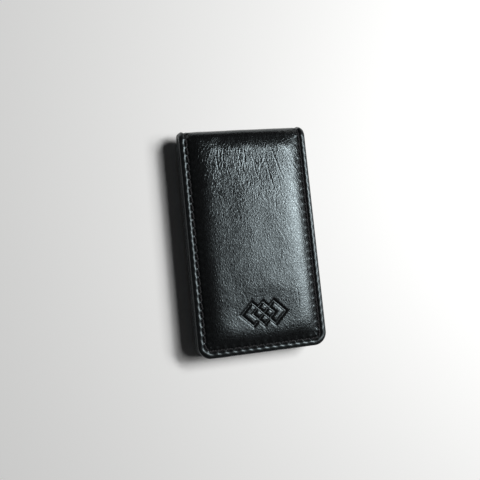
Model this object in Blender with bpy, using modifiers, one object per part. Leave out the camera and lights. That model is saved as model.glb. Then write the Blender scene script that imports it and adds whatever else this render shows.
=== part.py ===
"""Magnetic leather money clip, lying closed: a leather strip folded once over a thin stack of notes.

Run with: blender --background --python part.py

Frame: X across the width, +Y towards the fold, -Y towards the free ends, +Z up. The origin is under the
middle of the closed clip, on the surface that it lies on. All sizes are in metres.

Each flap is a sandwich, counted from its inner face outwards: lining, board, foam pad with the two magnets in
its windows, outer leather. The front flap is on top and the back flap is its mirror image underneath.
A fold joins them. It turns about two axes, one at each flap, so that the clip can open out flat.
"""

import math

import bmesh
import bpy
from mathutils import Matrix, Vector

MM = 0.001

# ---------------------------------------------------------------- driving dimensions
WIDTH = 45.5 * MM
LENGTH = 77.8 * MM  # free ends to the outside of the fold
CORNER_RADIUS = 4.5 * MM
NOTE_GAP = 1.2 * MM  # between the two linings, for the notes
CLEARANCE = 0.3 * MM  # between pieces that lie on each other

LEATHER = 1.0 * MM
LINING = 0.8 * MM
BOARD = 0.6 * MM
BOARD_INSET = 0.5 * MM  # the board stops this far inside the leather's edge
BOARD_FOLD_GAP = 4.0 * MM  # and this far short of the fold, which has to flex
FOAM = 1.7 * MM  # at the middle of the flap
FOAM_INSET = 5.0 * MM
PAD_CLEARANCE = 0.5 * MM  # between the foam's dome and the leather over it

MAGNET_WIDTH = 22.0 * MM  # along X
MAGNET_LENGTH = 9.0 * MM  # along Y
MAGNET_HEIGHT = 1.5 * MM
MAGNET_BEVEL = 0.4 * MM
MAGNET_FROM_FREE_END = {"near_end": 15.5 * MM, "near_fold": 42.0 * MM}

SHOULDER_START = 2.6 * MM  # from the edge to where the pillow begins to rise
SHOULDER_WIDTH = 9.0 * MM  # from there to the flat top of the pillow
SHOULDER_FULLNESS = 2.5  # 1 is a straight slope, and more is rounder and steeper at its foot
FOLD_CROWN = 0.7 * MM  # how much of the pillow is left where the flap meets the fold
FOLD_TAPER = 18.0 * MM  # length over which the pillow sinks to that

STITCH_INSET = 1.7 * MM  # from the edge to the row of stitches
STITCH_PITCH = 2.8 * MM
STITCH_HUMP = 0.2 * MM  # how much higher the thread stands in the middle of a stitch than at its holes
STITCHES_ON_FOLD = 4  # on each side
THREAD_RADIUS = 0.25 * MM

HINGE_RISE = 0.2 * MM  # from the rim's outer face to the axis that the fold turns about

CORNER_STEPS = 4
SHOULDER_STEPS = 5
TAPER_STEPS = 4
FOLD_STEPS = 12

# ---------------------------------------------------------------- derived dimensions
# Heights in a flap are counted from the lining's inner face outwards.
BOARD_BASE = LINING + CLEARANCE
FOAM_BASE = BOARD_BASE + BOARD + CLEARANCE
RIM_HEIGHT = FOAM_BASE + LEATHER
CROWN = FOAM + PAD_CLEARANCE
FLAP_HEIGHT = RIM_HEIGHT + CROWN

MID_HEIGHT = FLAP_HEIGHT + NOTE_GAP / 2  # the plane between the two flaps
FOLD_RADIUS = RIM_HEIGHT + NOTE_GAP / 2  # outside of the fold, at the rims
LINING_REACH = FOLD_RADIUS - LEATHER - CLEARANCE - LINING  # depth of the lining's inner turn

THREAD_HEIGHT = RIM_HEIGHT + CLEARANCE + THREAD_RADIUS  # the thread's centre line, at its holes
THREAD_ORBIT = FOLD_RADIUS + CLEARANCE + THREAD_RADIUS  # the same, round the fold
THREAD_REACH = THREAD_ORBIT + THREAD_RADIUS  # nothing goes further along +Y

FLAP_LENGTH = LENGTH - FOLD_RADIUS
FREE_END_Y = -(FLAP_LENGTH + THREAD_REACH) / 2
FOLD_Y = FREE_END_Y + FLAP_LENGTH

# With the axes here the opened fold takes up as much length as its outer face has.
HINGE_Y = FOLD_Y + HINGE_RISE + FOLD_RADIUS * (math.pi / 2 - 1)
HINGE_ARM = FOLD_RADIUS - HINGE_RISE  # from the middle plane to either axis


# ---------------------------------------------------------------- scene and materials
def clear_scene():
    for old in list(bpy.data.objects):
        bpy.data.objects.remove(old)


def new_collection(name):
    collection = bpy.data.collections.new(name)
    bpy.context.scene.collection.children.link(collection)
    return collection


def new_material(name, colour, roughness, metallic=0.0):
    material = bpy.data.materials.new(name)
    material.use_nodes = True
    shader = material.node_tree.nodes["Principled BSDF"]
    shader.inputs["Base Color"].default_value = (*colour, 1.0)
    shader.inputs["Roughness"].default_value = roughness
    shader.inputs["Metallic"].default_value = metallic
    return material


def new_object(name, data, material):
    data.materials.append(material)
    made = bpy.data.objects.new(name, data)
    parts.objects.link(made)
    return made


def mesh_object(name, bm, material):
    mesh = bpy.data.meshes.new(name)
    bm.to_mesh(mesh)
    bm.free()
    mesh.shade_smooth()
    mesh.set_sharp_from_angle(angle=math.radians(35))
    return new_object(name, mesh, material)


def new_pivot(name, location):
    """An empty on a joint's axis, which the pieces of that moving body hang from."""
    pivot = bpy.data.objects.new(name, None)
    pivot.location = location
    parts.objects.link(pivot)
    return pivot


# ---------------------------------------------------------------- the flap's outline and pillow
def smooth_step(t):
    t = min(max(t, 0.0), 1.0)
    return t * t * (3 - 2 * t)


def shoulder_rise(from_edge):
    """Share of the pillow's height at this distance from the edge."""
    t = min(max((from_edge - SHOULDER_START) / SHOULDER_WIDTH, 0.0), 1.0)
    return 1 - (1 - t) ** SHOULDER_FULLNESS


def side_rise(x):
    """The same, at this distance from the clip's centre line."""
    return shoulder_rise(WIDTH / 2 - abs(x))


def pillow_height(x, y):
    """How far the flap's outer face stands above its rim."""
    end_rise = shoulder_rise(y - FREE_END_Y)
    left_at_fold = FOLD_CROWN / CROWN
    fold_rise = left_at_fold + (1 - left_at_fold) * smooth_step((FOLD_Y - y) / FOLD_TAPER)
    return CROWN * side_rise(x) * end_rise * fold_rise


def half_width(from_end):
    """Half the flap's width, which narrows round the corners of the free end."""
    short = max(CORNER_RADIUS - from_end, 0.0)
    return WIDTH / 2 - CORNER_RADIUS + math.sqrt(CORNER_RADIUS**2 - short**2)


def steps(first, last, count):
    return [first + (last - first) * i / count for i in range(count + 1)]


def column_places(inset):
    """Places across the clip, from the left edge to the right: close together on the shoulders."""
    shoulder = steps(SHOULDER_START, SHOULDER_START + SHOULDER_WIDTH, SHOULDER_STEPS)
    left = [-WIDTH / 2 + s for s in (inset, *shoulder) if s >= inset]
    return [*left, 0.0, *[-x for x in reversed(left)]]


def row_places(inset, fold_gap):
    """Places along the clip, as distances from the free end, from there to the fold."""
    shoulder_end = SHOULDER_START + SHOULDER_WIDTH
    corner = [CORNER_RADIUS * (1 - math.cos(a)) for a in steps(0, math.pi / 2, CORNER_STEPS)]
    shoulder = steps(CORNER_RADIUS, shoulder_end, SHOULDER_STEPS - 1)
    taper = steps(FLAP_LENGTH - FOLD_TAPER, FLAP_LENGTH, TAPER_STEPS)
    last = FLAP_LENGTH - fold_gap
    inner = [d for d in corner + shoulder[1:] + taper if inset < d < last - MM]
    return [inset, *inner, last]


def grid_surface(columns, rows, place):
    """A grid primitive whose points are moved to place(column, row)."""
    bm = bmesh.new()
    bmesh.ops.create_grid(bm, x_segments=len(columns) - 1, y_segments=len(rows) - 1, size=1.0)
    for vert in bm.verts:
        column = round((vert.co.x + 1) / 2 * (len(columns) - 1))
        row = round((vert.co.y + 1) / 2 * (len(rows) - 1))
        vert.co = place(columns[column], rows[row])
    return bm


def add_thickness(made, thickness, offset=-1.0):
    """Solidify: offset -1 grows the wall behind the surface, and 1 grows it in front."""
    wall = made.modifiers.new("thickness", "SOLIDIFY")
    wall.thickness = thickness
    wall.offset = offset
    wall.use_even_offset = True


# ---------------------------------------------------------------- the pieces of a flap
def place_in_flap(made, flap, height=0.0, y=0.0):
    """Puts a piece modelled with its base on the flap's inner face into the front or the back flap."""
    outward = flap["outward"]
    made.rotation_euler.y = 0.0 if outward > 0 else math.pi
    made.parent = flap["pivot"]
    z = MID_HEIGHT + outward * (NOTE_GAP / 2 + height)
    made.location = Vector((0.0, y, z)) - flap["pivot"].location


def add_leather(flap):
    def place(column, row):
        y = FREE_END_Y + row
        x = column * half_width(row) / (WIDTH / 2)
        return Vector((x, y, RIM_HEIGHT + pillow_height(x, y)))

    bm = grid_surface(column_places(0.0), row_places(0.0, CLEARANCE), place)
    leather = mesh_object(flap["name"] + "_leather", bm, materials["leather"])
    add_thickness(leather, LEATHER)
    place_in_flap(leather, flap)


def add_plate(name, material, inset, fold_gap, thickness):
    """A flat plate with the flap's outline, its free corners rounded."""
    radius = CORNER_RADIUS - inset
    right = WIDTH / 2 - inset
    end = FREE_END_Y + inset
    fold = FOLD_Y - fold_gap
    arc = []
    for angle in steps(-math.pi / 2, 0.0, 2 * CORNER_STEPS):
        arc.append((right - radius + radius * math.cos(angle), end + radius + radius * math.sin(angle)))
    outline = [*arc, (right, fold), (-right, fold), *[(-x, y) for x, y in reversed(arc)]]

    curve = bpy.data.curves.new(name, "CURVE")
    curve.dimensions = "2D"
    curve.fill_mode = "BOTH"
    curve.extrude = thickness / 2
    spline = curve.splines.new("POLY")
    spline.points.add(len(outline) - 1)
    for point, (x, y) in zip(spline.points, outline):
        point.co = (x, y, 0.0, 1.0)
    spline.use_cyclic_u = True
    return new_object(name, curve, material)


def add_lining(flap):
    lining = add_plate(flap["name"] + "_lining", materials["lining"], 0.0, CLEARANCE, LINING)
    place_in_flap(lining, flap, LINING / 2)


def add_board(flap):
    board = add_plate(flap["name"] + "_board", materials["board"], BOARD_INSET, BOARD_FOLD_GAP, BOARD)
    place_in_flap(board, flap, BOARD_BASE + BOARD / 2)


def magnet_y(where):
    return FREE_END_Y + MAGNET_FROM_FREE_END[where]


def new_box(size):
    """A box mesh with its scale already in its points."""
    bm = bmesh.new()
    bmesh.ops.create_cube(bm, size=1.0, matrix=Matrix.Diagonal((*size, 1.0)))
    return bm


def add_magnets(flap):
    for where in MAGNET_FROM_FREE_END:
        bm = new_box((MAGNET_WIDTH, MAGNET_LENGTH, MAGNET_HEIGHT))
        magnet = mesh_object(f"{flap['name']}_magnet_{where}", bm, materials["magnet"])
        edge = magnet.modifiers.new("ground edge", "BEVEL")
        edge.width = MAGNET_BEVEL
        edge.segments = 1
        place_in_flap(magnet, flap, FOAM_BASE + MAGNET_HEIGHT / 2, magnet_y(where))


def add_foam_pad(flap):
    """A pad with a flat base and a domed top, cut through by a window for each magnet."""

    def place(column, row):
        y = FREE_END_Y + row
        return Vector((column, y, FOAM_BASE + pillow_height(column, y) - PAD_CLEARANCE))

    bm = grid_surface(column_places(FOAM_INSET), row_places(FOAM_INSET, FOAM_INSET), place)
    grown = bmesh.ops.extrude_face_region(bm, geom=bm.faces[:])
    for item in grown["geom"]:
        if isinstance(item, bmesh.types.BMVert):
            item.co.z = FOAM_BASE
    bmesh.ops.recalc_face_normals(bm, faces=bm.faces[:])
    pad = mesh_object(flap["name"] + "_foam_pad", bm, materials["foam"])
    place_in_flap(pad, flap)
    for where in MAGNET_FROM_FREE_END:
        cut_window(pad, flap, where)


def cut_window(pad, flap, where):
    size = (MAGNET_WIDTH + 2 * CLEARANCE, MAGNET_LENGTH + 2 * CLEARANCE, 2 * FLAP_HEIGHT)
    mesh = bpy.data.meshes.new(f"{pad.name}_window_{where}")
    bm = new_box(size)
    bm.to_mesh(mesh)
    bm.free()
    cutter = bpy.data.objects.new(mesh.name, mesh)
    cutters.objects.link(cutter)
    cutter.hide_render = True
    cutter.display_type = "WIRE"
    place_in_flap(cutter, flap, FOAM_BASE, magnet_y(where))
    cut = pad.modifiers.new("window " + where, "BOOLEAN")
    cut.object = cutter
    cut.solver = "EXACT"
    cut.operation = "DIFFERENCE"


# ---------------------------------------------------------------- the stitching
def add_thread(name, points):
    """One continuous thread through these points, as a tube."""
    curve = bpy.data.curves.new(name, "CURVE")
    curve.dimensions = "3D"
    curve.bevel_depth = THREAD_RADIUS
    curve.bevel_resolution = 1
    curve.use_fill_caps = True
    spline = curve.splines.new("POLY")
    spline.points.add(len(points) - 1)
    for spline_point, point in zip(spline.points, points):
        spline_point.co = (*point, 1.0)
    return new_object(name, curve, materials["thread"])


def hump(index):
    """The thread's height over its holes: none at the holes, which are the even points of a row."""
    return STITCH_HUMP * (index % 2)


def stitch_row_place(distance):
    """Where the row of stitches is, by the distance along it from the middle of the free end."""
    radius = CORNER_RADIUS - STITCH_INSET
    straight = WIDTH / 2 - CORNER_RADIUS
    beyond = max(abs(distance) - straight, 0.0)
    turned = min(beyond / radius, math.pi / 2)
    up_the_side = max(beyond - radius * math.pi / 2, 0.0)
    x = min(abs(distance), straight) + radius * math.sin(turned)
    y = FREE_END_Y + STITCH_INSET + radius * (1 - math.cos(turned)) + up_the_side
    return math.copysign(x, distance), y


def add_stitching(flap):
    """The row of stitches round the flap's three free sides, up to the fold."""
    turn = (CORNER_RADIUS - STITCH_INSET) * math.pi / 2
    half_row = WIDTH / 2 - CORNER_RADIUS + turn + FLAP_LENGTH - CORNER_RADIUS
    half_count = round(half_row / STITCH_PITCH)
    fitted_pitch = (half_row - CLEARANCE) / half_count
    points = []
    for i in range(4 * half_count + 1):
        x, y = stitch_row_place((i / 2 - half_count) * fitted_pitch)
        points.append((x, y, THREAD_HEIGHT + hump(i)))
    stitching = add_thread(flap["name"] + "_stitching", points)
    place_in_flap(stitching, flap)


# ---------------------------------------------------------------- the fold
def place_in_fold(made, pivot):
    """Puts a piece modelled round the fold's own centre line into place."""
    made.parent = pivot
    made.location = Vector((0.0, FOLD_Y, MID_HEIGHT)) - pivot.location


def fold_angles():
    """From the front flap round to the back one, so that a grid's faces look outwards."""
    return steps(math.pi / 2, -math.pi / 2, FOLD_STEPS)


def add_fold_leather(pivot):
    def place(x, angle):
        bulge = FOLD_RADIUS + FOLD_CROWN * side_rise(x)
        return Vector((x, FOLD_RADIUS * math.cos(angle), bulge * math.sin(angle)))

    bm = grid_surface(column_places(0.0), fold_angles(), place)
    leather = mesh_object("fold_leather", bm, materials["leather"])
    add_thickness(leather, LEATHER)
    place_in_fold(leather, pivot)


def add_fold_lining(pivot):
    def place(x, angle):
        return Vector((x, LINING_REACH * math.cos(angle), NOTE_GAP / 2 * math.sin(angle)))

    bm = grid_surface([-WIDTH / 2, WIDTH / 2], fold_angles(), place)
    lining = mesh_object("fold_lining", bm, materials["lining"])
    add_thickness(lining, LINING, offset=1.0)
    place_in_fold(lining, pivot)


def add_fold_stitching(pivot):
    """The stitches that carry each side's row round the fold."""
    row = WIDTH / 2 - STITCH_INSET
    for x, name in ((-row, "left"), (row, "right")):
        points = []
        for i, angle in enumerate(steps(-math.pi / 2, math.pi / 2, 2 * STITCHES_ON_FOLD)):
            orbit = THREAD_ORBIT + hump(i)
            points.append((x, orbit * math.cos(angle), orbit * math.sin(angle)))
        place_in_fold(add_thread("fold_stitching_" + name, points), pivot)


# ---------------------------------------------------------------- assembly
clear_scene()
parts = new_collection("money_clip")
cutters = new_collection("cutters")

materials = {
    "leather": new_material("black_leather", (0.012, 0.012, 0.013), 0.38),
    "lining": new_material("black_lining_leather", (0.016, 0.016, 0.017), 0.55),
    "thread": new_material("black_thread", (0.03, 0.03, 0.032), 0.5),
    "board": new_material("bonded_leather_board", (0.14, 0.09, 0.055), 0.85),
    "foam": new_material("grey_foam", (0.2, 0.2, 0.21), 0.95),
    "magnet": new_material("nickel_plate", (0.72, 0.7, 0.66), 0.25, 1.0),
}

back_pivot = new_pivot("back_panel", Vector((0.0, 0.0, 0.0)))
fold_pivot = new_pivot("back_fold_hinge", Vector((0.0, HINGE_Y, MID_HEIGHT - HINGE_ARM)))
front_pivot = new_pivot("front_fold_hinge", Vector((0.0, HINGE_Y, MID_HEIGHT + HINGE_ARM)))

for each_flap in (
    {"name": "back", "outward": -1, "pivot": back_pivot},
    {"name": "front", "outward": 1, "pivot": front_pivot},
):
    add_lining(each_flap)
    add_board(each_flap)
    add_foam_pad(each_flap)
    add_magnets(each_flap)
    add_leather(each_flap)
    add_stitching(each_flap)

add_fold_leather(fold_pivot)
add_fold_lining(fold_pivot)
add_fold_stitching(fold_pivot)
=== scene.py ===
"""The looks of a magnetic leather money clip that lies closed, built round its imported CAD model.

The clip is a leather strip folded once over itself. Its two halves, front and back, meet at the middle of
the fold and are mirror images, apart from the pressed mark and the random detail. Leather, lining and
stitches are laid out in strip coordinates: x across the clip, s along the strip from its free end to the
middle of the fold, and h out of the face of the leather or lining. outer_place and inner_place turn those
into places in the part's own frame.
"""

import math

import bmesh
import bpy
import numpy as np
from mathutils import Matrix, Vector


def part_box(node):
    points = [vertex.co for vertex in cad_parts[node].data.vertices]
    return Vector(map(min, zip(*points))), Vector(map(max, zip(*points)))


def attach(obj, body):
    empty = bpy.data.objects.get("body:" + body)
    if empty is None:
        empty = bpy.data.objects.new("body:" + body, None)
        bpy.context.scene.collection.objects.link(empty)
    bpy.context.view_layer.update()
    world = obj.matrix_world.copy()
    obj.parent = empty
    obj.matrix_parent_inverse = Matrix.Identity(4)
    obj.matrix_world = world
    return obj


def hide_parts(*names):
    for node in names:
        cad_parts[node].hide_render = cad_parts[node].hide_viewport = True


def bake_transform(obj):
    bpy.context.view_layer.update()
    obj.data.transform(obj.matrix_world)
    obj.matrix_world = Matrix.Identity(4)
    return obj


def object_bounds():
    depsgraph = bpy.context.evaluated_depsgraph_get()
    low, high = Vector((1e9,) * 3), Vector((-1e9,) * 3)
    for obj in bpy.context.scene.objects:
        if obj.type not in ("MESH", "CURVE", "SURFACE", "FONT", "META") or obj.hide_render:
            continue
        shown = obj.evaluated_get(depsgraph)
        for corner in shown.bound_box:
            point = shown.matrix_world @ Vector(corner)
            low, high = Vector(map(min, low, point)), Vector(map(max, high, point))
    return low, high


MM = 0.001

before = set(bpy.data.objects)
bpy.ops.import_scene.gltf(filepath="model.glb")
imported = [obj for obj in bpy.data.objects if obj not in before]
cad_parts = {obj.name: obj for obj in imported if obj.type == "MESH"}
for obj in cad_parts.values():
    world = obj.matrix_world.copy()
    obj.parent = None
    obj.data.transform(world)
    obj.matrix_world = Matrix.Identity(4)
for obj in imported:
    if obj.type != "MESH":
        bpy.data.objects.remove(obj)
cad_low, cad_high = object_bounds()

# ---------------------------------------------------------------- sizes read from the CAD model
cover_low, cover_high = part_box("front_leather")
fold_low, fold_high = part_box("fold_leather")
lining_low, lining_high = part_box("front_lining")
pad_low, pad_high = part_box("front_foam_pad")

CAD_GAP = 0.3 * MM  # what the CAD pieces keep between them
HALF_WIDTH = cover_high.x
END_Y = cover_low.y
FOLD_Y = cover_high.y + CAD_GAP
FOLD_RADIUS = fold_high.y - FOLD_Y
MID_Z = (fold_low.z + fold_high.z) / 2
LEATHER = MID_Z + FOLD_RADIUS - cover_low.z
CROWN = cover_high.z - MID_Z - FOLD_RADIUS
LINING = lining_high.z - lining_low.z
HALF_GAP = lining_low.z - MID_Z
LINING_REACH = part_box("fold_lining")[1].y - FOLD_Y - LINING

FLAP = FOLD_Y - END_Y
STRIP = FLAP + FOLD_RADIUS * math.pi / 2

# ---------------------------------------------------------------- sizes of the sewn work
CORNER_RADIUS = 4.5 * MM
STRAIGHT = HALF_WIDTH - CORNER_RADIUS
SHOULDER_START = 2.3 * MM
SHOULDER_WIDTH = 12.0 * MM
SHOULDER_FULLNESS = 4.0
FOLD_TAPER = 4.6 * MM  # the length of flap over which the pillow runs out to the fold
FOLD_FULLNESS = 2.0
FOLD_EASE = 1.5  # above 1, the run-out is level at the middle of the fold
FOLD_WAIST = 0.1 * MM  # how far the middle of the fold draws in
FOLD_SKEW = 0.3 * MM  # how much further the fold reaches on the right
FOLD_ROUNDING = 0.4 * MM  # how far the fold draws in at its two ends
ROUNDING_WIDTH = 1.8 * MM
SWELLING_FADE = 14 * MM  # the length of flap over which the simulated swelling dies out to the fold

STITCH_INSET = 2.5 * MM
ROW_RADIUS = CORNER_RADIUS - STITCH_INSET
HALF_ROW = STRAIGHT + ROW_RADIUS * math.pi / 2 + STRIP - CORNER_RADIUS
STITCH_LENGTH = 2.8 * MM  # before a whole number of stitches is fitted into the row
STITCH_COUNT = round(HALF_ROW / STITCH_LENGTH)
PITCH = HALF_ROW / STITCH_COUNT
PLY_RADIUS = 0.25 * MM
PLY_OFFSET = 0.6  # from the thread's middle to a ply's middle, in radii of the ply
THREAD_RADIUS = (1 + PLY_OFFSET) * PLY_RADIUS
STITCH_SLANT = 0.25 * MM
TWISTS_PER_STITCH = 1.25
SUNK_END = 0.55 * MM  # how deep the ends of a stitch lie in their holes
STITCH_RISE = 0.35  # how far a stitch's middle stands above the face, in radii of the thread
FOLD_SINK = 0.9  # how much lower it lies over the fold, in the same radii
ARCH_FLATNESS = 3.5
SLANT_SPREAD = 0.25  # how much the stitches differ, as shares
RISE_SPREAD = 0.12

EDGE_RADIUS = 0.45 * MM
LIP_WIDTH = 0.45 * MM
PAINT_GROOVE = 0.03 * MM  # half the width of the line between the two painted edges
HIDDEN_STEP = 0.02 * MM  # from the lip's end to the step up to the hidden face
HIDDEN_MARGIN = 1.5 * MM

MARK_X = 0.5 * MM
MARK_S = 13.2 * MM
MARK_SIZE = 7.8 * MM  # across one lozenge
MARK_STEP = MARK_SIZE / 2
MARK_LINE = 0.5 * MM
MARK_DEPTH = 0.46 * MM
DIP_DEPTH = 0.28 * MM
DIP_REACH = 1.6  # where the dip ends, in units of the next two
DIP_ACROSS = 10 * MM
DIP_ALONG = 6.4 * MM

GRID = 0.3 * MM
MARK_ROW_STEP = 0.14 * MM
OUTER_COLUMN_STEP = 0.18 * MM
LAST_ROW_STEP = 0.05 * MM  # a last narrow row keeps the two halves level where they meet
EDGE_STEP = 0.2 * MM
EDGE_ARC_STEPS = 6
CORNER_STEPS = 16
COARSE_COLUMNS = 6  # columns of the hidden face, which is never seen
WELD = 1e-4 * MM


def smooth(t):
    t = np.clip(t, 0.0, 1.0)
    return t * t * (3 - 2 * t)


def rounded(t):
    """Rises steeply from 0 and comes to rest at 1, like the shoulder of a cushion."""
    return 1 - (1 - np.clip(t, 0.0, 1.0)) ** SHOULDER_FULLNESS


def bell(distance, width, power=2):
    """1 in the middle, about a third at one width and 0 far off. A higher power makes the top flatter."""
    return np.exp(-(np.abs(distance / width) ** power))


def unit(vectors):
    return vectors / np.linalg.norm(vectors, axis=-1, keepdims=True)


# ---------------------------------------------------------------- strip coordinates
def fold_turn(s):
    """The angle turned round the fold: none on the flap, a quarter turn at the middle of the fold."""
    return np.maximum(s - FLAP, 0.0) / FOLD_RADIUS


def outer_place(x, s, h):
    """A place on the front half of the outer leather, h above the rim's outer face."""
    turn = fold_turn(s)
    reach = FOLD_RADIUS + h
    y = END_Y + np.minimum(s, FLAP) + reach * np.sin(turn)
    z = MID_Z + reach * np.cos(turn)
    return np.stack(np.broadcast_arrays(x, y, z), axis=-1)


def inner_place(x, s, h):
    """A place on the front half of the lining, h above the face that touches the notes."""
    turn = fold_turn(s)
    normal_y = np.sin(turn) / LINING_REACH
    normal_z = np.cos(turn) / HALF_GAP
    length = np.hypot(normal_y, normal_z)
    y = END_Y + np.minimum(s, FLAP) + LINING_REACH * np.sin(turn) - h * normal_y / length
    z = MID_Z + HALF_GAP * np.cos(turn) - h * normal_z / length
    return np.stack(np.broadcast_arrays(x, y, z), axis=-1)


def outer_lip(s):
    """How far the leather's painted edge reaches down, to the middle of the sandwich."""
    turn = fold_turn(s)
    lining_y = LINING_REACH + LINING
    lining_z = HALF_GAP + LINING
    lining_radius = 1.0 / np.hypot(np.sin(turn) / lining_y, np.cos(turn) / lining_z)
    return FOLD_RADIUS - (FOLD_RADIUS - LEATHER + lining_radius) / 2 - PAINT_GROOVE


def inner_lip(s):
    """The same for the lining, from the face that touches the notes."""
    turn = fold_turn(s)
    shown_radius = 1.0 / np.hypot(np.sin(turn) / LINING_REACH, np.cos(turn) / HALF_GAP)
    return FOLD_RADIUS - shown_radius - outer_lip(s) - 2 * PAINT_GROOVE


def inset(x, s):
    """How far inside the outline a place is."""
    over = np.maximum(np.abs(x) - STRAIGHT, 0.0)
    up = np.maximum(CORNER_RADIUS - s, 0.0)
    margin = CORNER_RADIUS - np.hypot(over, up)
    return np.where(np.maximum(over, up) > 0, margin, np.minimum(HALF_WIDTH - np.abs(x), s))


def row_place(distance, outward=0.0):
    """The strip place at a distance along the row of stitches from the middle of the free end."""
    beyond = np.maximum(np.abs(distance) - STRAIGHT, 0.0)
    turn = np.minimum(beyond / ROW_RADIUS, math.pi / 2)
    up_the_side = np.maximum(beyond - ROW_RADIUS * math.pi / 2, 0.0)
    radius = ROW_RADIUS + outward
    x = np.minimum(np.abs(distance), STRAIGHT) + radius * np.sin(turn)
    return np.copysign(x, distance), CORNER_RADIUS - radius * np.cos(turn) + up_the_side


def along_row(x, s):
    """The distance along the row of stitches of the place beside it."""
    over = np.maximum(np.abs(x) - STRAIGHT, 0.0)
    up = np.maximum(CORNER_RADIUS - s, 0.0)
    turned = ROW_RADIUS * np.arctan2(over, up)
    return np.minimum(np.abs(x), STRAIGHT) + turned + np.maximum(s - CORNER_RADIUS, 0.0)


# ---------------------------------------------------------------- the pillow
def shoulder_rise(from_edge):
    """Share of the pillow's height at this distance from the edge: a round shoulder, steepest at its foot."""
    return rounded((from_edge - SHOULDER_START) / SHOULDER_WIDTH)


def domed(x, s):
    """The dome of the padded face, without its swelling, and its run-out over the fold."""
    from_side = HALF_WIDTH - np.abs(x)
    before_middle = np.clip((STRIP - s) / (STRIP - FLAP + FOLD_TAPER), 0.0, 1.0)
    fold_rise = 1 - (1 - before_middle**FOLD_EASE) ** FOLD_FULLNESS
    side_rise = shoulder_rise(from_side)
    pillow_rise = CROWN * side_rise * shoulder_rise(s) * fold_rise
    rounding = FOLD_ROUNDING * (1 - smooth(from_side / ROUNDING_WIDTH))
    drawn_in = rounding + FOLD_WAIST * side_rise - FOLD_SKEW * x / HALF_WIDTH
    return pillow_rise - smooth(fold_turn(s)) * drawn_in


# ---------------------------------------------------------------- the simulated skin
SIM_SCALE = 20.0  # the cloth solver works best on things of about a metre
SIM_STEP = 1.0 * MM
SIM_FRAMES = 20
SIM_PRESSURE = 3.2
SIM_START = 0.85  # the skin starts from this share of the dome, and swells
SIM_REACH = 0.15 * MM  # the farthest that it may end from the dome


def skin_mesh(x, s, height):
    """A grid of quads at the simulation's scale."""
    points = np.stack([x, s, height], axis=-1).reshape(-1, 3) * SIM_SCALE
    mesh = bpy.data.meshes.new("skin")
    mesh.from_pydata(points.tolist(), [], quads(numbered_grid(*x.shape)).tolist())
    return mesh


def simulated_heights(skin, shape):
    """Runs the simulation and reads the heights that the skin reaches."""
    for step in range(1, SIM_FRAMES + 1):
        bpy.context.scene.frame_set(step)
    swollen = skin.evaluated_get(bpy.context.evaluated_depsgraph_get()).data
    places = np.zeros(len(swollen.vertices) * 3)
    swollen.vertices.foreach_get("co", places)
    bpy.context.scene.frame_set(1)
    return places.reshape(*shape, 3)[:, :, 2] / SIM_SCALE


def simulate_skin():
    """Blows a leather skin, pinned along its stitches and fold, off the board as a cloth simulation.
    It is brought to the dome's greatest height. Returns a grid of how far it then stands off the dome."""
    x, s = np.meshgrid(spaced(-HALF_WIDTH, HALF_WIDTH, SIM_STEP), spaced(0.0, FLAP, SIM_STEP))
    dome = domed(x, s)
    skin = bpy.data.objects.new("skin", skin_mesh(x, s, SIM_START * dome))
    bpy.context.scene.collection.objects.link(skin)
    pinned = np.flatnonzero((inset(x, s) < SHOULDER_START).ravel() | (s.ravel() > FLAP - SIM_STEP))
    pins = skin.vertex_groups.new(name="pins")
    pins.add(pinned.tolist(), 1.0, "REPLACE")
    cloth = skin.modifiers.new("cloth", "CLOTH")
    cloth.settings.vertex_group_mass = "pins"
    cloth.settings.quality = 6
    cloth.settings.mass = 0.4
    cloth.settings.tension_stiffness = 25
    cloth.settings.compression_stiffness = 25
    cloth.settings.shear_stiffness = 12
    cloth.settings.bending_stiffness = 4
    cloth.settings.use_pressure = True
    cloth.settings.uniform_pressure_force = SIM_PRESSURE
    cloth.settings.effector_weights.gravity = 0.0
    swollen = simulated_heights(skin, x.shape)
    bpy.data.objects.remove(skin)
    off = swollen * dome.max() / swollen.max() - dome
    return SIM_REACH * np.tanh(off / SIM_REACH)


def spline_weights(t):
    """The four weights of a cubic B-spline, t of the way between its middle two points."""
    before = (3 * t**3 - 6 * t**2 + 4) / 6
    after = (-3 * t**3 + 3 * t**2 + 3 * t + 1) / 6
    return (1 - t) ** 3 / 6, before, after, t**3 / 6


def sample(field, x, s):
    """The simulated grid read smoothly at strip places."""
    u = np.clip((x / HALF_WIDTH + 1) / 2, 0, 1) * (field.shape[1] - 1)
    v = np.clip(s / FLAP, 0, 1) * (field.shape[0] - 1)
    column = np.minimum(u.astype(int), field.shape[1] - 2)
    row = np.minimum(v.astype(int), field.shape[0] - 2)
    padded = np.pad(field, 1, mode="edge")
    total = np.zeros(np.broadcast(x, s).shape)
    for i, weight_v in enumerate(spline_weights(v - row)):
        for j, weight_u in enumerate(spline_weights(u - column)):
            total += weight_v * weight_u * padded[row + i, column + j]
    return total


# ---------------------------------------------------------------- relief of the leather
OUTER_SEWING_DEPTH = 0.18 * MM
INNER_SEWING_DEPTH = 0.07 * MM
SEWING_LOSS = 0.7  # how much of it the lining loses over the fold
CHANNEL_WIDTH = 0.9 * MM
DIMPLE_WIDTH = 0.6 * MM
HOLE_WIDTH = 0.28 * MM
TUCK_PLACE = 0.7 * MM  # inwards from the row of stitches
TUCK_WIDTH = 0.8 * MM
RIDGE_PLACE = -1.34 * MM  # outwards from the row
RIDGE_SCALLOP = 0.22 * MM
RIDGE_WIDTH = 0.84 * MM
RIDGE_HEIGHT = 1.65  # these heights and depths are in units of the sewing's depth
RIDGE_SWELL = 0.35
TUCK_HEIGHT = 1.3
CHANNEL_DEPTH = 0.15
DIMPLE_DEPTH = 1.6
HOLE_DEPTH = 1.2

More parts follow.
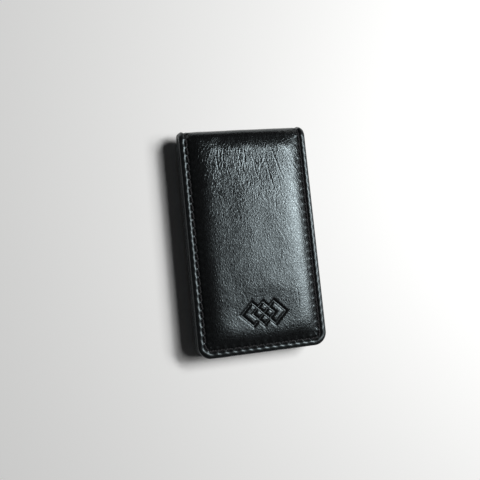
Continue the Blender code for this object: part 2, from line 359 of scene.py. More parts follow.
PAD_MARGIN = 8 * MM  # the width over which the padded face's unevenness comes in
WAVE_COUNT = 9
PAD_WAVES = ((0.04 * MM, 15 * MM), (0.006 * MM, 4.5 * MM))  # (depth, wavelength), as in the next two
OUTER_WAVES = (0.012 * MM, 8 * MM)
INNER_WAVES = (0.02 * MM, 12 * MM)

CREASE_POINTS = 22
FOLD_CREASES = 30
FOLD_CREASE_WIDTH = 0.27 * MM
STRAY_CREASES = 24
STRAY_CREASE_WIDTH = 0.28 * MM
CREASE_LIP = 0.4  # height of the lips in depths of the furrow
CREASE_LIP_PLACE = 1.7  # their distance from its middle in widths


def wobble(x, s, seed, wavelength):
    """Smooth random unevenness between about -1 and 1."""
    random = np.random.default_rng(seed)
    total = 0.0
    for _ in range(WAVE_COUNT):
        heading = random.uniform(0, math.pi)
        length = wavelength * random.uniform(0.7, 1.5)
        phase = random.uniform(0, 2 * math.pi)
        total = total + np.sin((x * math.cos(heading) + s * math.sin(heading)) * 2 * math.pi / length + phase)
    return total / math.sqrt(WAVE_COUNT)


def new_crease(x, s, heading, length, bend, depth, width):
    """A crease from (x, s). Heading 0 runs towards the free end, and bend is the turn over its length."""
    share = np.linspace(0.0, 1.0, CREASE_POINTS)
    angle = heading + bend * share
    step = length / (len(share) - 1)
    line_x = x + np.concatenate([[0.0], np.cumsum(np.sin(angle[:-1]) * step)])
    line_s = s - np.concatenate([[0.0], np.cumsum(np.cos(angle[:-1]) * step)])
    return {"x": line_x, "s": line_s, "share": share, "depth": depth, "width": width}


def fold_creases(seed):
    """Fine creases that run from the fold into the pillow, splayed towards the sides, and a few strays."""
    random = np.random.default_rng(seed)
    creases = []
    for x in np.linspace(-0.7, 0.8, FOLD_CREASES) * HALF_WIDTH:
        place = (x + random.normal(0.0, 0.5) * MM, FLAP - random.uniform(1.0, 8.0) * MM)
        heading = 0.75 * x / HALF_WIDTH + random.normal(0.0, 0.2)
        length = random.uniform(4.0, 14.0) * MM
        depth = random.uniform(0.02, 0.055) * MM
        bend = random.normal(0.0, 0.5)
        creases.append(new_crease(*place, heading, length, bend, depth, FOLD_CREASE_WIDTH))
    for _ in range(STRAY_CREASES):
        place = (random.uniform(-16, 17) * MM, random.uniform(14, 66) * MM)
        length = random.uniform(3.0, 8.0) * MM
        depth = random.uniform(0.012, 0.035) * MM
        heading = random.normal(0.3, 0.7)
        bend = random.normal(0.0, 0.6)
        creases.append(new_crease(*place, heading, length, bend, depth, STRAY_CREASE_WIDTH))
    return creases


def crease_relief(x, s, creases):
    """A narrow furrow with slightly raised lips along each crease."""
    total = np.zeros(x.shape)
    for crease in creases:
        reach = 5 * crease["width"]
        near = (x > crease["x"].min() - reach) & (x < crease["x"].max() + reach)
        near &= (s > crease["s"].min() - reach) & (s < crease["s"].max() + reach)
        if not near.any():
            continue
        across = x[near][:, None] - crease["x"]
        along = s[near][:, None] - crease["s"]
        gap = np.hypot(across, along)
        closest = gap.argmin(axis=1)
        step_x = np.gradient(crease["x"])[closest]
        step_s = np.gradient(crease["s"])[closest]
        size = np.hypot(step_x, step_s)
        pick = np.arange(len(closest))
        side = np.abs(across[pick, closest] * step_s - along[pick, closest] * step_x) / size
        beyond = np.abs(across[pick, closest] * step_x + along[pick, closest] * step_s) / size
        away = np.hypot(side, np.maximum(beyond - size, 0.0)) / crease["width"]
        fade = np.sin(math.pi * np.clip(crease["share"][closest], 0.03, 0.97)) ** 0.7
        furrow = CREASE_LIP * bell(away - CREASE_LIP_PLACE, 1) - bell(away, 1)
        total[near] += crease["depth"] * fade * furrow
    return total


def stitch_relief(x, s, depth):
    """What the sewing does to the face: each stitch lies in an oval dimple and is pulled into a needle hole
    at both ends. The leather is tucked up between the dimples, and a scalloped ridge stands outside them."""
    off_row = inset(x, s) - STITCH_INSET
    at_hole = 0.5 + 0.5 * np.cos(2 * math.pi * along_row(x, s) / PITCH)
    channel = bell(off_row, CHANNEL_WIDTH)
    dimple = bell(off_row, DIMPLE_WIDTH, power=4) * (1 - at_hole**2)
    hole = bell(off_row, HOLE_WIDTH) * at_hole**6
    tuck = bell(off_row - TUCK_PLACE, TUCK_WIDTH) * at_hole**2
    ridge = bell(off_row - RIDGE_PLACE - RIDGE_SCALLOP * at_hole, RIDGE_WIDTH) * (1.0 + RIDGE_SWELL * at_hole)
    raised = RIDGE_HEIGHT * ridge + TUCK_HEIGHT * tuck
    return depth * (raised - CHANNEL_DEPTH * channel - DIMPLE_DEPTH * dimple - HOLE_DEPTH * hole)


def mark_relief(x, s):
    """Three linked lozenges pressed into the front, and the shallow dip that the stamp leaves round them."""
    total = np.zeros(np.broadcast(x, s).shape)
    along = np.abs(s - MARK_S)
    for place in (-1, 0, 1):
        across = np.abs(x - MARK_X - place * MARK_STEP)
        away = (across + along - MARK_SIZE / 2) / math.sqrt(2)
        total = np.maximum(total, bell(away, MARK_LINE))
    dip = smooth(DIP_REACH - np.hypot((x - MARK_X) / DIP_ACROSS, (s - MARK_S) / DIP_ALONG))
    return -MARK_DEPTH * total - DIP_DEPTH * dip


def outer_detail(seed, with_mark):
    """The relief of one half's outer face, as a function of strip places."""
    creases = fold_creases(seed)

    def detail(x, s):
        on_pad = smooth((inset(x, s) - STITCH_INSET) / PAD_MARGIN)
        relief = stitch_relief(x, s, OUTER_SEWING_DEPTH)
        for i, (depth, wavelength) in enumerate(PAD_WAVES, start=1):
            relief += on_pad * depth * wobble(x, s, seed + i, wavelength)
        depth, wavelength = OUTER_WAVES
        relief += depth * wobble(x, s, seed + 3, wavelength)
        relief += crease_relief(x, s, creases)
        if with_mark:
            relief += mark_relief(x, s)
        return relief

    return detail


def inner_detail(seed):
    """The relief of one half's lining. The sewing shows less over the fold."""

    def detail(x, s):
        kept = 1 - SEWING_LOSS * smooth(fold_turn(s))
        depth, wavelength = INNER_WAVES
        return stitch_relief(x, s, INNER_SEWING_DEPTH) * kept + depth * wobble(x, s, seed, wavelength)

    return detail


# ---------------------------------------------------------------- strips of leather
def spaced(first, last, step):
    return np.linspace(first, last, max(2, round(abs(last - first) / step) + 1))


def strip_rows(mark_step):
    """Rows from the corners' height to the middle of the fold, mark_step apart where the mark is."""
    mark_reach = MARK_SIZE / 2 + 2 * MARK_LINE
    rows = [spaced(CORNER_RADIUS, MARK_S - mark_reach, GRID)]
    rows.append(spaced(MARK_S - mark_reach, MARK_S + mark_reach, mark_step)[1:])
    rows.append(spaced(MARK_S + mark_reach, FLAP, GRID)[1:])
    rows.append(spaced(FLAP, STRIP, GRID)[1:-1])
    rows.append([STRIP - LAST_ROW_STEP, STRIP])
    return np.concatenate(rows)


def edge_profile(thickness):
    """The section of the edge as (inset, height, share of the lip, share of the relief), from the shown face
    out to the edge, round it, down to the lip and back along the hidden face."""
    face = [(place, 0.0, 0.0, 1.0) for place in spaced(CORNER_RADIUS, EDGE_RADIUS, EDGE_STEP)]
    crest = []
    for angle in np.linspace(0.0, math.pi / 2, EDGE_ARC_STEPS + 1)[1:]:
        place = EDGE_RADIUS * (1 - math.sin(angle))
        crest.append((place, -EDGE_RADIUS * (1 - math.cos(angle)), 0.0, math.cos(angle)))
    # The wall's last points and the lip's first ones round the lip's edge.
    wall = [(0.0, 0.0, share, 0.0) for share in (0.5, 0.68, 0.84)]
    lip = [(0.04 * MM, 0.0, 0.94, 0.0), (0.14 * MM, 0.0, 0.99, 0.0), (LIP_WIDTH, 0.0, 1.0, 0.0)]
    hidden = [(LIP_WIDTH + HIDDEN_STEP, -thickness, 0.0, 0.0), (HIDDEN_MARGIN, -thickness, 0.0, 0.0)]
    hidden.append((CORNER_RADIUS, -thickness, 0.0, 0.0))
    return np.array(face + crest + wall + lip + hidden)


def numbered_grid(count_a, count_b, first=0):
    return first + np.arange(count_a * count_b).reshape(count_a, count_b)


def quads(grid):
    return np.stack([grid[:-1, :-1], grid[:-1, 1:], grid[1:, 1:], grid[1:, :-1]], axis=-1).reshape(-1, 4)


def strip_tube(rows, columns, coarse, edge, thickness):
    """The strip above its corners, one loop round the section for each row."""
    shown = [(x, 0.0, 0.0, 1.0) for x in columns]
    right = [(HALF_WIDTH - place, *rest) for place, *rest in edge[1:]]
    hidden = [(columns[i], -thickness, 0.0, 0.0) for i in coarse[-2:0:-1]]
    left = [(place - HALF_WIDTH, *rest) for place, *rest in edge[:0:-1]]
    loop = np.array(shown + right + hidden + left)
    tube = np.empty((len(rows), len(loop), 5))
    tube[:, :, 0] = loop[:, 0]
    tube[:, :, 1] = rows[:, None]
    tube[:, :, 2:] = loop[:, 1:]
    return tube


def strip_nose(columns, edge):
    """The free end with its two round corners, one section of the edge after the other from left to right."""
    turns = np.linspace(math.pi / 2, 0.0, CORNER_STEPS + 1)
    path = [(-1, 0.0, turn) for turn in turns]
    path += [(0, x, 0.0) for x in columns[1:-1]]
    path += [(1, 0.0, turn) for turn in turns[::-1]]
    radius = CORNER_RADIUS - edge[:, 0]
    nose = np.empty((len(path), len(edge), 5))
    for i, (side, x, turn) in enumerate(path):
        nose[i, :, 0] = side * (STRAIGHT + radius * math.sin(turn)) + x
        nose[i, :, 1] = CORNER_RADIUS - radius * math.cos(turn)
        nose[i, :, 2:] = edge[:, 1:]
    return nose


def strip_layout(thickness, rows, column_step):
    """A strip as one closed shell: points as (x, s, height, share of lip, share of relief), and faces."""
    edge = edge_profile(thickness)
    columns = spaced(-STRAIGHT, STRAIGHT, column_step)
    coarse = np.linspace(0, len(columns) - 1, COARSE_COLUMNS).round().astype(int)
    tube = strip_tube(rows, columns, coarse, edge, thickness)
    nose = strip_nose(columns, edge)

    tube_numbers = numbered_grid(*tube.shape[:2])
    nose_numbers = numbered_grid(*nose.shape[:2], tube_numbers.size)
    closed = np.hstack([tube_numbers, tube_numbers[:, :1]])
    first_hidden = len(columns) + len(edge) - 2
    faces = quads(closed[1:]).tolist()
    faces += quads(closed[:2, : first_hidden + 1]).tolist()
    faces += quads(closed[:2, first_hidden + COARSE_COLUMNS - 1 :]).tolist()
    # The hidden face's first band joins its few columns to the nose's many, one wide face for each.
    fine_row = nose_numbers[CORNER_STEPS : CORNER_STEPS + len(columns), -1]
    for i in range(COARSE_COLUMNS - 1):
        fine = fine_row[coarse[-2 - i] : coarse[-1 - i] + 1]
        near = closed[1, first_hidden + i]
        faces.append([*fine.tolist(), near, closed[1, first_hidden + i + 1]])
    faces += quads(nose_numbers).tolist()
    faces.append(tube_numbers[-1].tolist())
    return np.concatenate([tube.reshape(-1, 5), nose.reshape(-1, 5)]), faces


def welded(points, faces):
    """Points that coincide become one, and faces that lose a corner by it keep the others."""
    snapped = np.round(points / WELD)
    _, first, place = np.unique(snapped, axis=0, return_index=True, return_inverse=True)
    place = place.ravel()
    kept = []
    for face in faces:
        corners = list(dict.fromkeys(place[face].tolist()))
        if len(corners) > 2:
            kept.append(corners)
    return points[first], kept


def mesh_object(name, points, faces, material, sharp=50):
    mesh = bpy.data.meshes.new(name)
    mesh.from_pydata(points.tolist(), [], faces)
    bm = bmesh.new()
    bm.from_mesh(mesh)
    bmesh.ops.recalc_face_normals(bm, faces=bm.faces[:])
    bm.to_mesh(mesh)
    bm.free()
    mesh.shade_smooth()
    mesh.set_sharp_from_angle(angle=math.radians(sharp))
    mesh.materials.append(material)
    made = bpy.data.objects.new(name, mesh)
    bpy.context.scene.collection.objects.link(made)
    return made


def mirrored(points, front):
    """The back half is the front half turned over the middle plane."""
    if not front:
        points = points.copy()
        points[..., 2] = 2 * MID_Z - points[..., 2]
    return points


def store(mesh, name, kind, values):
    attribute = mesh.attributes.new(name, kind, "POINT")
    field = "vector" if kind == "FLOAT_VECTOR" else "value"
    attribute.data.foreach_set(field, values.astype(np.float32).ravel())


def leather_strip(name, front, layout, place, lip, padding, detail, material):
    """One half of a leather strip as a closed shell, with its strip places kept for the material."""
    points, faces = layout
    x, s, height, lip_share, relief_share = points.T
    height = height - lip_share * lip(s)
    h = height + (1 - lip_share) * padding(x, s) + relief_share * detail(x, s)
    made = mesh_object(name, mirrored(place(x, s, h), front), faces, material)
    store(made.data, "strip_place", "FLOAT_VECTOR", np.stack([x, s, height], axis=-1))
    store(made.data, "from_edge", "FLOAT", inset(x, s) / MM)
    return made


# ---------------------------------------------------------------- stitches
RINGS = 22
AROUND = 14


def plied_skin(line, out, twist):
    """Rings round each stitch's line, shaped like two plies side by side. Returns the rings' points, their
    place round the thread and their distance from the line."""
    along = np.gradient(line, axis=1)
    across = unit(np.cross(along, out))
    up = unit(np.cross(across, along))
    around = np.linspace(0.0, 2 * math.pi, AROUND, endpoint=False)
    ply = around - twist[..., None]
    radius = PLY_OFFSET * np.abs(np.cos(ply)) + np.sqrt(1 - (PLY_OFFSET * np.sin(ply)) ** 2)
    radius = PLY_RADIUS * radius[..., None]
    ring = np.cos(around)[:, None] * across[:, :, None, :] + np.sin(around)[:, None] * up[:, :, None, :]
    return line[:, :, None, :] + radius * ring, ply * PLY_RADIUS, radius[..., 0]


def thread_faces(count):
    """The side and the two ends of every stitch's tube."""
    rings = numbered_grid(RINGS, AROUND)
    side = quads(np.hstack([rings, rings[:, :1]]))
    faces = []
    for start in range(0, count * rings.size, rings.size):
        faces += (side + start).tolist()
        faces.append((rings[0] + start).tolist())
        faces.append((rings[-1] + start).tolist())
    return faces


def stitches(name, front, place, surface, material):
    """A half's stitches, each a short two-ply thread that comes out of one hole and goes down the next."""
    t = np.linspace(0.0, 1.0, RINGS)
    holes = np.arange(STITCH_COUNT)[:, None] + t
    signed = np.concatenate([holes, -holes]) * PITCH
    count = len(signed)
    random = np.random.default_rng(len(name))
    slant = STITCH_SLANT * (1 + SLANT_SPREAD * random.normal(size=(count, 1)))
    lift = 1 + RISE_SPREAD * random.normal(size=(count, 1))
    turned = random.uniform(0, math.pi, (count, 1))
    slant[:STITCH_COUNT] *= -1
    x, s = row_place(signed, slant * (t - 0.5))
    arch = 1 - np.abs(2 * t - 1) ** ARCH_FLATNESS
    rise = THREAD_RADIUS * (STITCH_RISE * lift - FOLD_SINK * smooth(2 * fold_turn(s)))
    h = surface(x, s) - SUNK_END + arch * (SUNK_END + rise)
    line = place(x, s, h)
    twist = turned + 2 * math.pi * TWISTS_PER_STITCH * t
    points, round_ply, radius = plied_skin(line, place(x, s, h + MM) - line, twist)
    made = mesh_object(name, mirrored(points.reshape(-1, 3), front), thread_faces(count), material, sharp=70)
    thread_place = np.stack(np.broadcast_arrays(signed[..., None], round_ply, radius), axis=-1)
    store(made.data, "strip_place", "FLOAT_VECTOR", thread_place.reshape(-1, 3))
    return made


# ---------------------------------------------------------------- foam pads
PAD_STEP = 1.2 * MM
PAD_SIDE_STEP = 0.7 * MM
PAD_CLEARANCE = 0.5 * MM  # how much lower than the leather's dome the pad's dome is
PAD_FULLNESS = 0.9
PAD_EDGE_DROP = 0.35 * MM
PAD_EDGE_WIDTH = 1.5 * MM
PAD_LEAST = 0.3 * MM  # the pad is never thinner than this
PAD_BEVEL = 0.12 * MM


def pad_grid(half_window, windows):
    """Places of the pad's columns and rows, with lines along the edges of its windows."""
    columns = [spaced(pad_low.x, -half_window, PAD_SIDE_STEP)]
    columns.append(spaced(-half_window, half_window, PAD_STEP)[1:])
    columns.append(spaced(half_window, pad_high.x, PAD_SIDE_STEP)[1:])
    marks = [pad_low.y, *windows[0], *windows[1], pad_high.y]
    rows = [spaced(a, b, PAD_STEP)[1:] for a, b in zip(marks, marks[1:])]
    return np.meshgrid(np.concatenate(columns), np.concatenate([[pad_low.y], *rows]))


def pad_top(x, y):
    """The height of the pad's domed face, which drops a little at the rim."""
    top = pad_low.z + PAD_FULLNESS * (domed(x, y - END_Y) - PAD_CLEARANCE)
    near_edge = np.minimum.reduce([x - pad_low.x, pad_high.x - x, y - pad_low.y, pad_high.y - y])
    top -= PAD_EDGE_DROP * (1 - smooth(near_edge / PAD_EDGE_WIDTH))
    return np.maximum(top, pad_low.z + PAD_LEAST)


def border_edges(cells):
    """The edges that only one of the cells has."""
    edges = np.concatenate([cells[:, [i, (i + 1) % 4]] for i in range(4)])
    _, place, uses = np.unique(np.sort(edges, axis=1), axis=0, return_inverse=True, return_counts=True)
    return edges[uses[place.ravel()] == 1]


def foam_pad(name, front, material):
    """A domed pad on the board with rounded edges, cut through for the two magnets."""
    magnets = [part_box("front_magnet_near_end"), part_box("front_magnet_near_fold")]
    windows = [(low.y - CAD_GAP, high.y + CAD_GAP) for low, high in magnets]
    half_window = magnets[0][1].x + CAD_GAP
    x, y = pad_grid(half_window, windows)
    top = np.stack([x, y, pad_top(x, y)], axis=-1).reshape(-1, 3)
    bottom = np.stack([x, y, np.full(x.shape, pad_low.z)], axis=-1).reshape(-1, 3)

    cells = quads(numbered_grid(*x.shape))
    middle = top[cells].mean(axis=1)
    in_window = np.zeros(len(cells), bool)
    for low, high in windows:
        in_window |= (np.abs(middle[:, 0]) < half_window) & (middle[:, 1] > low) & (middle[:, 1] < high)
    cells = cells[~in_window]
    border = border_edges(cells)
    below = x.size
    walls = np.stack([border[:, 0], border[:, 0] + below, border[:, 1] + below, border[:, 1]], axis=-1)
    faces = cells.tolist() + (cells[:, ::-1] + below).tolist() + walls.tolist()
    points, faces = welded(np.concatenate([top, bottom]), faces)
    made = mesh_object(name, mirrored(points, front), faces, material, sharp=40)
    soften = made.modifiers.new("soft edge", "BEVEL")
    soften.width = PAD_BEVEL
    soften.segments = 2
    soften.limit_method = "ANGLE"
    soften.angle_limit = math.radians(50)
    return made


# ---------------------------------------------------------------- materials
class Nodes:
    """Short ways to add and join the nodes of one material."""

    def __init__(self, name):
        self.material = bpy.data.materials.new(name)
        self.material.use_nodes = True
        self.tree = self.material.node_tree
        self.shader = self.tree.nodes["Principled BSDF"]

    def add(self, kind, inputs=(), **settings):
        node = self.tree.nodes.new(kind)
        for key, value in settings.items():
            setattr(node, key, value)
        for key, value in dict(inputs).items():
            self.put(node.inputs[key], value)
        return node

    def put(self, socket, value):
        if isinstance(value, bpy.types.NodeSocket):
            self.tree.links.new(value, socket)
        else:
            socket.default_value = value

    def set(self, **inputs):
        for key, value in inputs.items():
            self.put(self.shader.inputs[key.replace("_", " ")], value)

    def math(self, operation, a, b=0.0, c=0.0):
        return self.add("ShaderNodeMath", {0: a, 1: b, 2: c}, operation=operation).outputs[0]

    def range(self, value, low, high, to_low=0.0, to_high=1.0):
        inputs = {"Value": value, "From Min": low, "From Max": high, "To Min": to_low, "To Max": to_high}
        return self.add("ShaderNodeMapRange", inputs).outputs["Result"]

    def vector_math(self, operation, a, b, c=(0.0, 0.0, 0.0)):
        return self.add("ShaderNodeVectorMath", {0: a, 1: b, 2: c}, operation=operation).outputs[0]

    def in_mm(self, place, stretch):
        """The place in millimetres, so that a noise scale of 1 is a pattern of about 1 mm."""
        return self.vector_math("MULTIPLY", place, tuple(share / MM for share in stretch))

    def strip_place(self, stretch=(1.0, 1.0, 1.0)):
        stored = self.add("ShaderNodeAttribute", attribute_name="strip_place")
        return self.in_mm(stored.outputs["Vector"], stretch)

    def object_place(self, stretch=(1.0, 1.0, 1.0)):
        return self.in_mm(self.add("ShaderNodeTexCoord").outputs["Object"], stretch)

    def noise(self, place, scale, detail=2.0, roughness=0.5, output="Fac"):
        inputs = {"Vector": place, "Scale": scale, "Detail": detail, "Roughness": roughness}
        return self.add("ShaderNodeTexNoise", inputs).outputs[output]

    def warped(self, place, scale, amount):
        """The place pushed about by a soft noise, so that a cell pattern loses its straight lines."""
        push = self.noise(place, scale, output="Color")
        centred = self.vector_math("SUBTRACT", push, (0.5, 0.5, 0.5))
        return self.vector_math("MULTIPLY_ADD", centred, (amount,) * 3, place)

    def cells(self, place, scale, width):
        """1 on the pebbles and 0 in the valleys between them."""
        inputs = {"Vector": place, "Scale": scale}
        edge = self.add("ShaderNodeTexVoronoi", inputs, feature="DISTANCE_TO_EDGE").outputs["Distance"]
        return self.add("ShaderNodeMapRange", {"Value": edge, "From Max": width},
                        interpolation_type="SMOOTHSTEP").outputs["Result"]

    def wrinkles(self, noise, width):
        """0 along the lines where a noise passes its middle value, and 1 away from them."""
        return self.range(self.math("ABSOLUTE", self.math("SUBTRACT", noise, 0.5)), 0.0, width)

    def fan_of_lines(self):
        """Fine long wrinkles that fan out from the fold and fade away down the flap, from 0 to 1."""
        warped = self.warped(self.strip_place(), scale=0.25, amount=3.0)
        place = self.add("ShaderNodeSeparateXYZ", {0: warped})
        before_fold = self.math("SUBTRACT", FLAP / MM, place.outputs["Y"])
        spread = self.math("MULTIPLY_ADD", before_fold, 0.035, 1.0)
        column = self.math("DIVIDE", place.outputs["X"], spread)
        squeezed = self.math("MULTIPLY", before_fold, 0.05)
        fan = self.add("ShaderNodeCombineXYZ", {"X": column, "Y": squeezed}).outputs[0]
        lines = self.wrinkles(self.noise(fan, scale=1.7, detail=1.0), width=0.12)
        fade = self.range(before_fold, 4.0, 32.0, 1.0, 0.0)
        return self.math("MULTIPLY", lines, fade)

    def colour_between(self, share, low, high):
        """A mix of two colours, whose sockets are number 6 and 7 of the node."""
        inputs = {0: share, 6: (*low, 1.0), 7: (*high, 1.0)}
        return self.add("ShaderNodeMix", inputs, data_type="RGBA").outputs[2]

    def bump(self, height, distance, strength=1.0, below=None):
        inputs = {"Height": height, "Distance": distance, "Strength": strength}
        if below:
            inputs["Normal"] = below
        return self.add("ShaderNodeBump", inputs).outputs["Normal"]


def leather_material(name, pebble, depth, roughness, dark, light):
    """Black leather: pebbles of about that many millimetres, broken by fine wrinkles, under a waxed finish
    that is worn a little along the edge."""
    n = Nodes(name)
    place = n.strip_place((1.0, 0.7, 1.0))
    pebbles = n.cells(n.warped(place, scale=0.9, amount=1.1), scale=1 / pebble, width=0.3)
    swirl = n.noise(n.warped(place, scale=0.5, amount=1.2), scale=0.8 / pebble, detail=1.5)
    wrinkled = n.math("MULTIPLY_ADD", n.wrinkles(swirl, width=0.1), 0.8, pebbles)
    patches = n.noise(place, scale=0.16, detail=3.0)
    pores = n.noise(place, scale=5.0)
    from_edge = n.add("ShaderNodeAttribute", attribute_name="from_edge").outputs["Fac"]  # in millimetres
    pulled_flat = n.range(from_edge, 1.6, 4.5, 0.3, 1.0)
    grain = n.math("MULTIPLY", n.math("MULTIPLY_ADD", n.fan_of_lines(), 1.4, wrinkled), pulled_flat)
    edge = n.range(from_edge, 0.15, 0.6, 1.0, 0.0)
    worn = n.range(n.noise(place, scale=1.3, detail=3.0), 0.45, 0.65)
    half_rubbed = n.math("MULTIPLY", n.math("MULTIPLY", edge, worn), 0.5)
    n.set(Base_Color=n.colour_between(n.math("MULTIPLY_ADD", patches, 0.5, half_rubbed), dark, light))
    smoothest = n.range(grain, 0.0, 1.8, roughness + 0.14, roughness - 0.05)
    n.set(Roughness=n.math("MULTIPLY_ADD", pores, 0.08, smoothest))
    n.set(Specular_IOR_Level=0.6, Specular_Tint=(0.8, 0.95, 1.0, 1.0))
    n.set(Normal=n.bump(pores, 0.003 * MM, below=n.bump(grain, depth)))
    return n.material


def thread_material():
    """Black polyester: fine fibres along two plies."""
    n = Nodes("black_thread")
    fibres = n.noise(n.strip_place((1.5, 14.0, 1.0)), scale=1.2)
    n.set(Base_Color=n.colour_between(fibres, (0.004, 0.004, 0.005), (0.02, 0.02, 0.022)))
    n.set(Roughness=n.range(fibres, 0.3, 0.7, 0.75, 0.6), Sheen_Weight=0.08, Sheen_Roughness=0.4)
    n.set(Specular_IOR_Level=0.25, Normal=n.bump(fibres, 0.03 * MM, strength=0.8))
    return n.material


def board_material():
    """Bonded leather board: brown fibres pressed flat."""
    n = Nodes("bonded_board")
    place = n.warped(n.object_place((1.0, 1.0, 4.0)), scale=0.6, amount=1.4)
    fibres = n.noise(place, scale=2.6, detail=5.0, roughness=0.7)
    n.set(Base_Color=n.colour_between(fibres, (0.09, 0.055, 0.033), (0.22, 0.15, 0.095)))
    n.set(Roughness=n.range(fibres, 0.3, 0.7, 0.75, 0.92), Normal=n.bump(fibres, 0.03 * MM, strength=0.7))
    return n.material


def foam_material():
    """Grey closed-cell foam."""
    n = Nodes("grey_foam")
    bubbles = n.cells(n.warped(n.object_place(), scale=1.5, amount=0.3), scale=3.2, width=0.25)
    n.set(Base_Color=n.colour_between(bubbles, (0.13, 0.13, 0.14), (0.26, 0.26, 0.27)))
    n.set(Roughness=n.range(bubbles, 0.0, 1.0, 0.95, 0.82), Normal=n.bump(bubbles, 0.06 * MM, strength=0.8))
    return n.material


def magnet_material():
    """Bright nickel plate with faint grinding marks across the bar."""
    n = Nodes("nickel_plate")
    marks = n.noise(n.object_place((8.0, 0.4, 0.4)), scale=1.0, detail=3.0)
    n.set(Base_Color=n.colour_between(marks, (0.6, 0.57, 0.52), (0.76, 0.74, 0.7)), Metallic=1.0)
    n.set(Roughness=n.range(marks, 0.3, 0.7, 0.18, 0.32), Normal=n.bump(marks, 0.004 * MM, strength=0.8))
    return n.material


def floor_material():
    n = Nodes("pale_floor")
    n.set(Base_Color=(0.92, 0.92, 0.91, 1.0), Roughness=0.6)
    return n.material


# ---------------------------------------------------------------- stage
FLOOR_REACH = 1.2  # half the floor's side
WORLD_STRENGTH = 0.02
LAMP_DISTANCE = 0.6


def add_floor():
    mesh = bpy.data.meshes.new("floor")
    bm = bmesh.new()
    bmesh.ops.create_grid(bm, x_segments=1, y_segments=1, size=FLOOR_REACH)
    bm.to_mesh(mesh)
    bm.free()
    mesh.materials.append(floor_material())
    floor = bpy.data.objects.new("floor", mesh)
    floor.location.z = cad_low.z
    bpy.context.scene.collection.objects.link(floor)


def add_lamp(name, azimuth, elevation, width, height, power):
    """A softbox that faces the clip, with angles in degrees, sizes in metres and its power in watts.
    Azimuth 0 is over +X and 90 over +Y, the fold's side."""
    turn = math.radians(azimuth)
    rise = math.radians(elevation)
    away = Vector((math.cos(turn) * math.cos(rise), math.sin(turn) * math.cos(rise), math.sin(rise)))
    light = bpy.data.lights.new(name, "AREA")
    light.shape = "RECTANGLE"
    light.size = width
    light.size_y = height
    light.energy = power
    lamp = bpy.data.objects.new(name, light)
    lamp.location = away * LAMP_DISTANCE
    lamp.rotation_euler = (-away).to_track_quat("-Z", "Y").to_euler()
    bpy.context.scene.collection.objects.link(lamp)


def add_world():
    world = bpy.data.worlds.new("studio")
    bpy.context.scene.world = world
    world.use_nodes = True
    background = world.node_tree.nodes["Background"]
    background.inputs["Color"].default_value = (0.95, 0.97, 1.0, 1.0)
    background.inputs["Strength"].default_value = WORLD_STRENGTH


# Places in metres, fitted so that the clip's corners fall where they are seen.
CAMERA_PLACE = Vector((-0.05055, -0.0141, 0.1914))
CAMERA_TARGET = Vector((-0.00506, -0.00067, 0.010))
PICTURE_UP = Vector((0.1026, 1.0, 0.0))
CAMERA_LENS = 41.25  # mm
SENSOR_WIDTH = 36.0  # mm


def add_camera():
    """Above the clip and a little to its left, with the fold at the top of the picture."""
    back = (CAMERA_PLACE - CAMERA_TARGET).normalized()
    right = PICTURE_UP.cross(back).normalized()
    up = back.cross(right)
    data = bpy.data.cameras.new("camera")
    data.lens = CAMERA_LENS
    data.sensor_width = SENSOR_WIDTH
    data.clip_start = 0.001
    camera = bpy.data.objects.new("camera", data)
    camera.matrix_world = Matrix.Translation(CAMERA_PLACE) @ Matrix((right, up, back)).transposed().to_4x4()
    bpy.context.scene.collection.objects.link(camera)
    bpy.context.scene.camera = camera


# ---------------------------------------------------------------- assembly
add_camera()
add_floor()
add_world()
add_lamp("key", azimuth=18, elevation=53, width=0.24, height=0.1, power=2.4)
add_lamp("side", azimuth=2, elevation=45, width=0.22, height=0.08, power=0.85)
add_lamp("top", azimuth=0, elevation=64, width=0.2, height=0.08, power=0.7)
bpy.context.scene.view_settings.view_transform = "Standard"

outer_leather = leather_material("pebbled_leather", pebble=0.7, depth=0.019 * MM, roughness=0.21,
                                 dark=(0.003, 0.003, 0.003), light=(0.009, 0.009, 0.01))
lining_leather = leather_material("lining_leather", pebble=0.6, depth=0.03 * MM, roughness=0.42,
                                  dark=(0.006, 0.006, 0.006), light=(0.014, 0.014, 0.015))
thread = thread_material()
foam = foam_material()

swelling = simulate_skin()


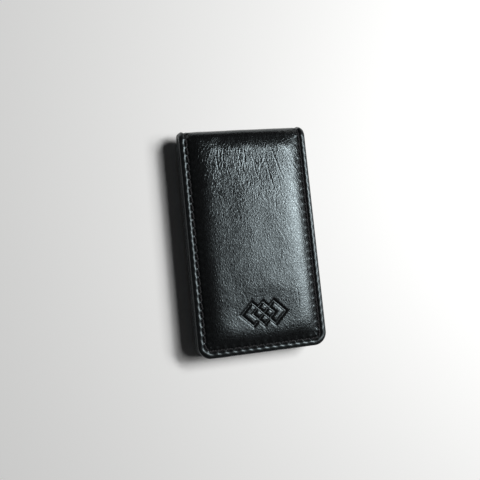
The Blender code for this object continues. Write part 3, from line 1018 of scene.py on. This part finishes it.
def pillow(x, s):
    """The padded face: the dome, and what the simulated skin adds to it."""
    height = domed(x, s)
    if swelling is not None:
        height = height + sample(swelling, x, s) * smooth((FLAP - s) / SWELLING_FADE)
    return height


def no_pillow(x, s):
    return np.zeros(np.broadcast(x, s).shape)


outer_layout = welded(*strip_layout(LEATHER, strip_rows(MARK_ROW_STEP), OUTER_COLUMN_STEP))
lining_layout = welded(*strip_layout(LINING, strip_rows(GRID), GRID))

for front, half, panel, seed in ((True, "front", "front_panel", 20), (False, "back", "back_panel", 60)):
    outer = outer_detail(seed, with_mark=front)
    inner = inner_detail(seed + 9)

    def face(x, s):
        return pillow(x, s) + outer(x, s)

    cover = leather_strip(half + "_outer_leather", front, outer_layout, outer_place, outer_lip, pillow, outer,
                          outer_leather)
    lining = leather_strip(half + "_lining_leather", front, lining_layout, inner_place, inner_lip, no_pillow,
                           inner, lining_leather)
    outer_stitches = stitches(half + "_outer_stitches", front, outer_place, face, thread)
    inner_stitches = stitches(half + "_inner_stitches", front, inner_place, inner, thread)
    pad = foam_pad(half + "_foam", front, foam)

    # Each half's strips turn a quarter round the fold, and are baked where they lie.
    up = 1 if front else -1
    cover_fold = (0.0, FOLD_Y + FOLD_RADIUS - LEATHER, MID_Z)
    cover_panel = (0.0, FOLD_Y, MID_Z + up * (FOLD_RADIUS - LEATHER))
    lining_fold = (0.0, FOLD_Y + LINING_REACH, MID_Z)
    lining_panel = (0.0, FOLD_Y, MID_Z + up * LINING_REACH)
    for piece, at_fold, at_panel in (
        (cover, cover_fold, cover_panel),
        (outer_stitches, cover_fold, cover_panel),
        (lining, lining_fold, lining_panel),
        (inner_stitches, lining_fold, lining_panel),
    ):
        if front:
            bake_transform(piece)
        else:
            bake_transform(piece)
    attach(pad, panel)

    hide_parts(half + "_leather", "fold_leather")
    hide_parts(half + "_lining", "fold_lining")
    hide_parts(half + "_stitching", "fold_stitching_left", "fold_stitching_right")
    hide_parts(half + "_foam_pad")

board = board_material()
magnet = magnet_material()
for name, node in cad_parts.items():
    if node.hide_render:
        continue
    for material_slot in node.material_slots:
        material_slot.material = magnet if "magnet" in name else board
